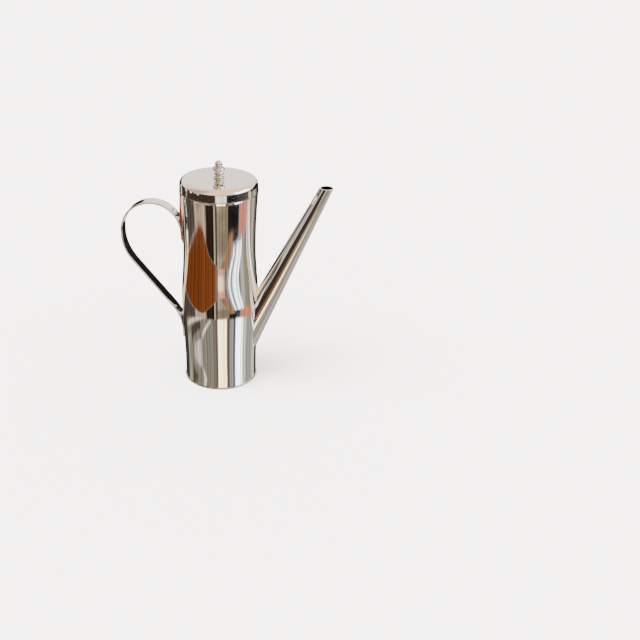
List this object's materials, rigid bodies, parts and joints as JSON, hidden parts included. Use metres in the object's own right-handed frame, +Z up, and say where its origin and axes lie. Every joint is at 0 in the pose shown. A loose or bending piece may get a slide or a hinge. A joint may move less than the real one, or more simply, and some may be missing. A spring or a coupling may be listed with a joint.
{
  "type": "silver coffee pot",
  "caption": "Tall cylindrical coffee pot with a flared mouth, a straight tapered spout, a flat ribbon handle and a lift-off lid with a turned finial.",
  "frame": {"origin": "centre of the base disc's underside, on the surface the pot stands on", "axes": "+Z up along the pot's axis, +X towards the spout, -X towards the handle"},
  "size_m": [0.2118, 0.079, 0.238],
  "materials": {
    "polished_silver": "mirror-polished silver plate",
    "satin_silver": "satin silver plate inside the mouth and the lid",
    "brass_fixings": "plain brass stud, washer and nut"
  },
  "bodies": {
    "pot": {"body_shell": "polished_silver", "base_disc": "polished_silver", "mouth_ring": "satin_silver", "spout": "polished_silver", "handle_ribbon": "polished_silver", "handle_mounting_plate": "polished_silver"},
    "lid": {"lid_cap": "polished_silver", "lid_bezel": "satin_silver", "finial": "polished_silver", "finial_stud": "brass_fixings", "finial_washer": "brass_fixings", "finial_nut": "brass_fixings"}
  },
  "joints": [
    {"name": "lid_lift", "type": "slide", "parent": "pot", "child": "lid", "axis": [0, 0, 1], "range_m": [0, 0.06]}
  ]
}
